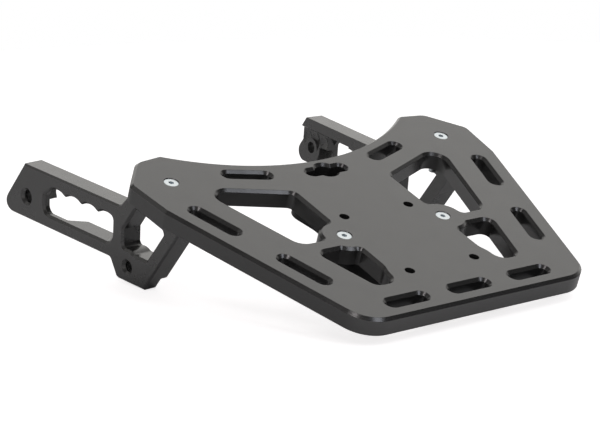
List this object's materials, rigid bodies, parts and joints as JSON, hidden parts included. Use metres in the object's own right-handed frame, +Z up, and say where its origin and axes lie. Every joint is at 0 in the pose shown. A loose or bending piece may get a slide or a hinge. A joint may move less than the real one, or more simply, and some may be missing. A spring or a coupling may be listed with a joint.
{
  "type": "motorcycle luggage rack",
  "caption": "Flat slotted luggage deck for a motorcycle's tail, on two machined side arms with finger-scalloped hand-holds and a centre bracket.",
  "frame": {"origin": "middle of the four accessory holes, on the deck's top face", "axes": "+Z up out of the deck's top face, +Y to the front of the motorcycle, +X to its right"},
  "size_m": [0.356, 0.4147, 0.1257],
  "materials": {
    "anodised": "satin black anodised aluminium",
    "bracket_black": "satin black",
    "zinc": "bright zinc plate"
  },
  "bodies": {
    "root": {"deck_plate": "anodised", "left_arm": "anodised", "right_arm": "anodised", "centre_bracket": "bracket_black", "front_screw_left": "zinc", "front_screw_right": "zinc", "inner_screw_left": "zinc", "inner_screw_right": "zinc"}
  },
  "joints": []
}
